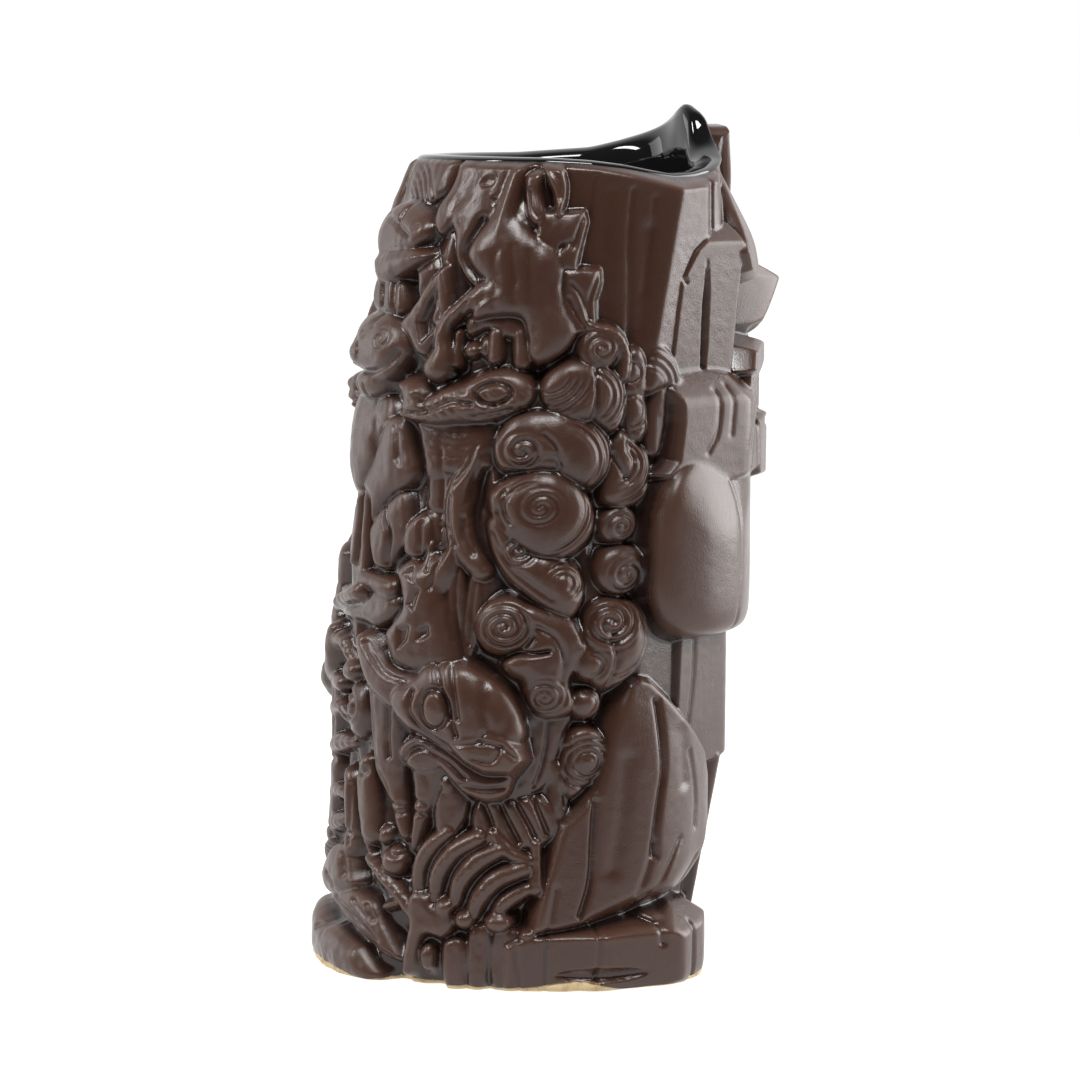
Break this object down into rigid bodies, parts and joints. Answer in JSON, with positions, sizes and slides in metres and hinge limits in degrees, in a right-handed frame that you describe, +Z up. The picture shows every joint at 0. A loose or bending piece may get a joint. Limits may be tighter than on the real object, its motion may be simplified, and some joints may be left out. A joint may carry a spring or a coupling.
{
  "type": "tiki mug",
  "caption": "Tall glazed ceramic drinking mug: a crouching idol on the front, and beasts, smoke scrolls and bones in high relief round the rest of the cup.",
  "frame": {"origin": "middle of the flat underside of the foot, on the resting plane", "axes": "+Z up along the cup, -Y the way the idol faces, +X towards the idol's left"},
  "size_m": [0.086, 0.1009, 0.175],
  "materials": {
    "brown_glaze": "satin dark brown ceramic glaze",
    "black_glaze": "gloss black ceramic glaze",
    "bare_clay": "bare fired clay"
  },
  "bodies": {
    "root": {"bare_foot": "bare_clay", "bat_ears": "brown_glaze", "bat_head": "brown_glaze", "bat_wings": "brown_glaze", "belly": "brown_glaze", "brow": "brown_glaze", "bull_forelegs": "brown_glaze", "bull_head": "brown_glaze", "bull_horns": "brown_glaze", "chin": "brown_glaze", "claw_hand": "brown_glaze", "ear_left": "brown_glaze", "ear_right": "brown_glaze", "eyes": "brown_glaze", "feet": "brown_glaze", "fish": "brown_glaze", "flanks": "brown_glaze", "forehead": "brown_glaze", "front_crest": "black_glaze", "grass_blades": "brown_glaze", "hand_left": "brown_glaze", "hand_right": "brown_glaze", "haunch_left": "brown_glaze", "haunch_right": "brown_glaze", "jaw_left": "brown_glaze", "jaw_right": "brown_glaze", "leaf_crest": "brown_glaze", "liner_glaze": "black_glaze", "lizard_head": "brown_glaze", "lizard_neck": "brown_glaze", "nose": "brown_glaze", "owl": "brown_glaze", "palm_frond": "brown_glaze", "plinth_front": "brown_glaze", "plinth_left": "brown_glaze", "plinth_right": "brown_glaze", "rearing_beast": "brown_glaze", "rib_cage": "brown_glaze", "scroll_base": "brown_glaze", "scroll_lower": "brown_glaze", "scroll_middle": "brown_glaze", "scroll_tail": "brown_glaze", "scroll_upper": "brown_glaze", "scrolls_left": "brown_glaze", "seed_pod": "brown_glaze", "shins": "brown_glaze", "smoke_puffs_left": "brown_glaze", "smoke_puffs_right": "brown_glaze", "spotted_hide": "brown_glaze", "stone_heap": "brown_glaze", "tail_plumes": "brown_glaze", "teeth": "brown_glaze", "temple_left": "brown_glaze", "temple_right": "brown_glaze", "topknot": "brown_glaze", "upper_arm_left": "brown_glaze", "upper_arm_right": "brown_glaze", "upper_lip": "brown_glaze", "vessel_wall": "brown_glaze"}
  },
  "joints": []
}
